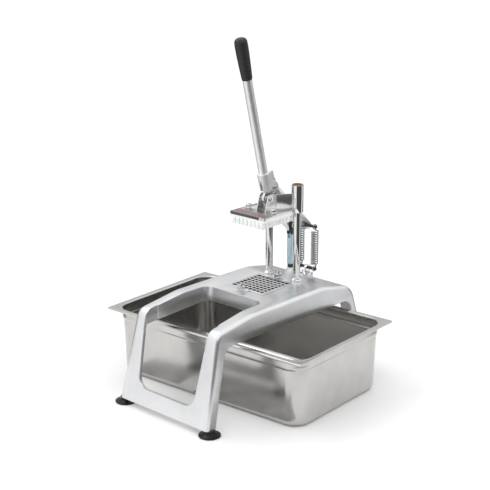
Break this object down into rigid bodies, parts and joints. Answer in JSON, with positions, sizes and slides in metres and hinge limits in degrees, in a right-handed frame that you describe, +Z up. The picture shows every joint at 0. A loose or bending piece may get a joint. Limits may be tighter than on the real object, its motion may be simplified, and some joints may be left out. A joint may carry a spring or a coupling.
{
  "type": "vegetable dicer",
  "caption": "Manual lever vegetable dicer: cast stand over a food container, sprung lever on a fixed post, sliding toothed pusher, square blade grid.",
  "frame": {"origin": "on the table, under the middle of the whole object's bounding box", "axes": "+Z up, -Y towards the user, +X to the user's right"},
  "size_m": [0.5482, 0.535, 0.7471],
  "materials": {
    "cast_aluminium": "brushed cast aluminium, satin",
    "stainless_sheet": "satin polished sheet",
    "polished_steel": "polished",
    "dark_steel": "dark satin",
    "zinc_fastener": "bright zinc",
    "blade_steel": "bright ground",
    "bronze_bush": "satin",
    "blue_paint": "satin",
    "cast_grey": "fine blasted",
    "tube_aluminium": "satin",
    "white_plastic": "satin",
    "label_grey": "satin print",
    "foot_rubber": "glossy",
    "grip_rubber": "matt, ribbed"
  },
  "bodies": {
    "base": {"base_casting": "cast_aluminium", "foot_front_left": "foot_rubber", "foot_front_right": "foot_rubber", "foot_rear_left": "foot_rubber", "foot_rear_right": "foot_rubber", "foot_screws": "zinc_fastener", "column_left": "polished_steel", "column_right": "polished_steel", "column_collars": "polished_steel", "column_nuts": "zinc_fastener", "post_foot": "cast_grey", "post_collar": "dark_steel", "fulcrum_post": "blue_paint", "post_clevis": "dark_steel", "fulcrum_pin": "polished_steel", "spring_bracket": "polished_steel", "bracket_screws": "zinc_fastener", "lower_spring_pin": "dark_steel", "spring_left": "polished_steel", "spring_right": "polished_steel", "blade_frame": "stainless_sheet", "blade_grid": "blade_steel", "grid_studs": "zinc_fastener"},
    "nut_front": {"thumb_nut_front": "zinc_fastener"},
    "nut_rear": {"thumb_nut_rear": "zinc_fastener"},
    "head": {"head_plate": "stainless_sheet", "head_label": "label_grey", "bracket_left": "polished_steel", "bracket_right": "polished_steel", "sleeve_left": "polished_steel", "sleeve_right": "polished_steel", "bushes_left": "bronze_bush", "bushes_right": "bronze_bush", "pusher_block": "white_plastic", "head_pin": "polished_steel"},
    "knob_left": {"pusher_knob_left": "zinc_fastener"},
    "knob_right": {"pusher_knob_right": "zinc_fastener"},
    "lever": {"lever_socket": "cast_grey", "socket_bolts": "zinc_fastener", "lever_arm": "polished_steel", "upper_spring_pin": "dark_steel", "lever_tube": "tube_aluminium", "grip": "grip_rubber"},
    "pan": {"container": "stainless_sheet"}
  },
  "joints": [
    {"name": "lever_swing", "type": "hinge", "parent": "base", "child": "lever", "pos_m": [0.017, 0.137, 0.328], "axis": [1, 0, 0], "range_deg": [0, 83], "stiffness_Nm_per_rad": 8, "springref_deg": -45.84, "deforming": ["spring_left", "spring_right"]},
    {"name": "head_slide", "type": "slide", "parent": "base", "child": "head", "axis": [0, 0, -1], "range_m": [0, 0.1431]},
    {"name": "container_slide", "type": "slide", "parent": "base", "child": "pan", "axis": [0.9981, 0.061, 0], "range_m": [-0.42, 0.42]},
    {"name": "front_nut_turn", "type": "hinge", "parent": "base", "child": "nut_front", "pos_m": [0.017, -0.023, 0.222], "axis": [0, 0, 1], "continuous": true},
    {"name": "rear_nut_turn", "type": "hinge", "parent": "base", "child": "nut_rear", "pos_m": [0.017, 0.096, 0.222], "axis": [0, 0, 1], "continuous": true},
    {"name": "left_knob_turn", "type": "hinge", "parent": "head", "child": "knob_left", "pos_m": [-0.0175, 0.0395, 0.383], "axis": [0, 0, 1], "continuous": true},
    {"name": "right_knob_turn", "type": "hinge", "parent": "head", "child": "knob_right", "pos_m": [0.0515, 0.0395, 0.383], "axis": [0, 0, 1], "continuous": true}
  ],
  "couplings": [
    {"joint": "head_slide", "follows": "lever_swing", "m_per_rad": 0.098714}
  ]
}
